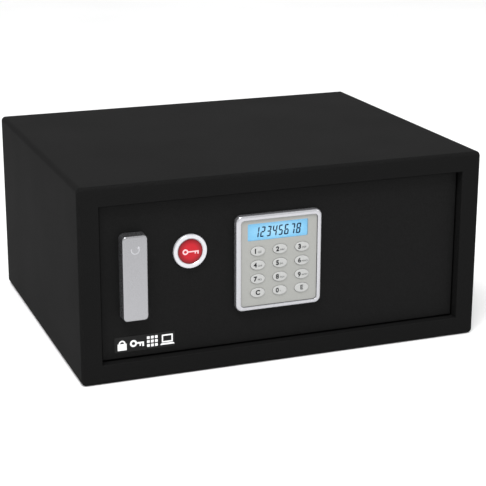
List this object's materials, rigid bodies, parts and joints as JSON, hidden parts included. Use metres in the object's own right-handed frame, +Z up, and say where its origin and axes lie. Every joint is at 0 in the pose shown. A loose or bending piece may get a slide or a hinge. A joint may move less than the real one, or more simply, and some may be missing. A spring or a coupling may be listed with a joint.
{
  "type": "in-room hotel safe",
  "caption": "Laptop-size hotel room safe with recessed hinged door, turn lever, sliding bolts, keypad with lit display, capped override lock and anchor holes.",
  "frame": {"origin": "middle of the body's underside, on the face it stands on", "axes": "+X right seen from the front, +Y from the door into the safe, +Z up"},
  "size_m": [0.43, 0.344, 0.2],
  "materials": {
    "body_black": "fine matte powder coat",
    "door_black": "fine matte powder coat",
    "zinc_steel": "zinc plated",
    "bolt_chrome": "polished",
    "bush_bronze": "sintered bronze",
    "bush_nylon": "black nylon",
    "lever_silver": "satin silver",
    "floor_felt": "needle felt",
    "bezel_silver": "silver satin",
    "panel_grey": "warm grey satin",
    "key_grey": "satin",
    "window_clear": "clear",
    "display_lit": "lit cyan",
    "board_green": "solder mask",
    "ribbon_grey": "satin",
    "coil_tape": "wound tape",
    "cell_wrap": "printed sleeve",
    "tray_black": "moulded",
    "lead_red": "satin",
    "contact_nickel": "nickel plated",
    "ring_silver": "satin",
    "emblem_red": "domed gloss",
    "lock_nickel": "satin nickel",
    "plate_black": "satin",
    "button_red": "gloss"
  },
  "bodies": {
    "safe_body": {"body_shell": "body_black", "front_frame": "body_black", "back_panel": "body_black", "strike_plate": "zinc_steel", "door_stops": "body_black", "hinge_lugs": "zinc_steel", "hinge_bushes": "bush_nylon", "floor_mat": "floor_felt"},
    "door": {"door_plate": "door_black", "hinge_bar": "zinc_steel", "hinge_pins": "bolt_chrome", "bolt_guide": "zinc_steel", "guide_posts": "bolt_chrome", "spindle_bush": "bush_bronze", "solenoid_frame": "zinc_steel", "solenoid_coil": "coil_tape", "lock_housing": "lock_nickel", "lock_nut": "lock_nickel", "keypad_bezel": "bezel_silver", "keypad_panel": "panel_grey", "display_window": "window_clear", "display_module": "display_lit", "keypad_board": "board_green", "ribbon_cable": "ribbon_grey", "standoffs": "zinc_steel", "control_board": "board_green", "rear_cover": "door_black", "screws": "zinc_steel", "battery_tray": "tray_black", "batteries": "cell_wrap", "battery_contacts": "contact_nickel", "inner_leads": "lead_red", "nameplate": "plate_black"},
    "lever": {"lever": "lever_silver", "lever_spindle": "zinc_steel", "crank": "zinc_steel", "spindle_screw": "zinc_steel"},
    "bolt_carriage": {"bolt_carriage": "zinc_steel", "locking_bolts": "bolt_chrome"},
    "plunger": {"solenoid_plunger": "bolt_chrome", "plunger_spring": "contact_nickel"},
    "lock_cap": {"cap_ring": "ring_silver", "cap_emblem": "emblem_red"},
    "lock_plug": {"lock_plug": "lock_nickel", "lock_cam": "zinc_steel"},
    "battery_lid": {"battery_lid": "tray_black"},
    "code_button": {"code_button": "button_red"},
    "key_1": {"key_1": "key_grey"},
    "key_2": {"key_2": "key_grey"},
    "key_3": {"key_3": "key_grey"},
    "key_4": {"key_4": "key_grey"},
    "key_5": {"key_5": "key_grey"},
    "key_6": {"key_6": "key_grey"},
    "key_7": {"key_7": "key_grey"},
    "key_8": {"key_8": "key_grey"},
    "key_9": {"key_9": "key_grey"},
    "key_0": {"key_0": "key_grey"},
    "key_c": {"key_c": "key_grey"},
    "key_e": {"key_e": "key_grey"}
  },
  "joints": [
    {"name": "door_hinge", "type": "hinge", "parent": "safe_body", "child": "door", "pos_m": [0.1695, -0.1525, 0.1], "axis": [0, 0, 1], "range_deg": [0, 100]},
    {"name": "lever_turn", "type": "hinge", "parent": "door", "child": "lever", "pos_m": [-0.1602, -0.162, 0.1355], "axis": [0, -1, 0], "range_deg": [0, 45]},
    {"name": "bolt_slide", "type": "slide", "parent": "door", "child": "bolt_carriage", "axis": [1, 0, 0], "range_m": [0, 0.015]},
    {"name": "plunger_slide", "type": "slide", "parent": "door", "child": "plunger", "axis": [0, 0, -1], "range_m": [-0.006, 0], "deforming": ["plunger_spring"]},
    {"name": "cap_pull", "type": "slide", "parent": "door", "child": "lock_cap", "axis": [0, -1, 0], "range_m": [0, 0.03]},
    {"name": "plug_turn", "type": "hinge", "parent": "door", "child": "lock_plug", "pos_m": [-0.1012, -0.15, 0.1248], "axis": [0, 1, 0], "range_deg": [0, 90]},
    {"name": "lid_lift", "type": "slide", "parent": "door", "child": "battery_lid", "axis": [0, 1, 0], "range_m": [0, 0.03]},
    {"name": "code_press", "type": "slide", "parent": "door", "child": "code_button", "axis": [0, -1, 0], "range_m": [0, 0.001], "stiffness_N_per_m": 300},
    {"name": "press_1", "type": "slide", "parent": "door", "child": "key_1", "axis": [0, 1, 0], "range_m": [0, 0.0008], "stiffness_N_per_m": 400},
    {"name": "press_2", "type": "slide", "parent": "door", "child": "key_2", "axis": [0, 1, 0], "range_m": [0, 0.0008], "stiffness_N_per_m": 400},
    {"name": "press_3", "type": "slide", "parent": "door", "child": "key_3", "axis": [0, 1, 0], "range_m": [0, 0.0008], "stiffness_N_per_m": 400},
    {"name": "press_4", "type": "slide", "parent": "door", "child": "key_4", "axis": [0, 1, 0], "range_m": [0, 0.0008], "stiffness_N_per_m": 400},
    {"name": "press_5", "type": "slide", "parent": "door", "child": "key_5", "axis": [0, 1, 0], "range_m": [0, 0.0008], "stiffness_N_per_m": 400},
    {"name": "press_6", "type": "slide", "parent": "door", "child": "key_6", "axis": [0, 1, 0], "range_m": [0, 0.0008], "stiffness_N_per_m": 400},
    {"name": "press_7", "type": "slide", "parent": "door", "child": "key_7", "axis": [0, 1, 0], "range_m": [0, 0.0008], "stiffness_N_per_m": 400},
    {"name": "press_8", "type": "slide", "parent": "door", "child": "key_8", "axis": [0, 1, 0], "range_m": [0, 0.0008], "stiffness_N_per_m": 400},
    {"name": "press_9", "type": "slide", "parent": "door", "child": "key_9", "axis": [0, 1, 0], "range_m": [0, 0.0008], "stiffness_N_per_m": 400},
    {"name": "press_0", "type": "slide", "parent": "door", "child": "key_0", "axis": [0, 1, 0], "range_m": [0, 0.0008], "stiffness_N_per_m": 400},
    {"name": "press_c", "type": "slide", "parent": "door", "child": "key_c", "axis": [0, 1, 0], "range_m": [0, 0.0008], "stiffness_N_per_m": 400},
    {"name": "press_e", "type": "slide", "parent": "door", "child": "key_e", "axis": [0, 1, 0], "range_m": [0, 0.0008], "stiffness_N_per_m": 400}
  ],
  "couplings": [
    {"joint": "bolt_slide", "follows": "lever_turn", "m_per_rad": 0.019098}
  ]
}
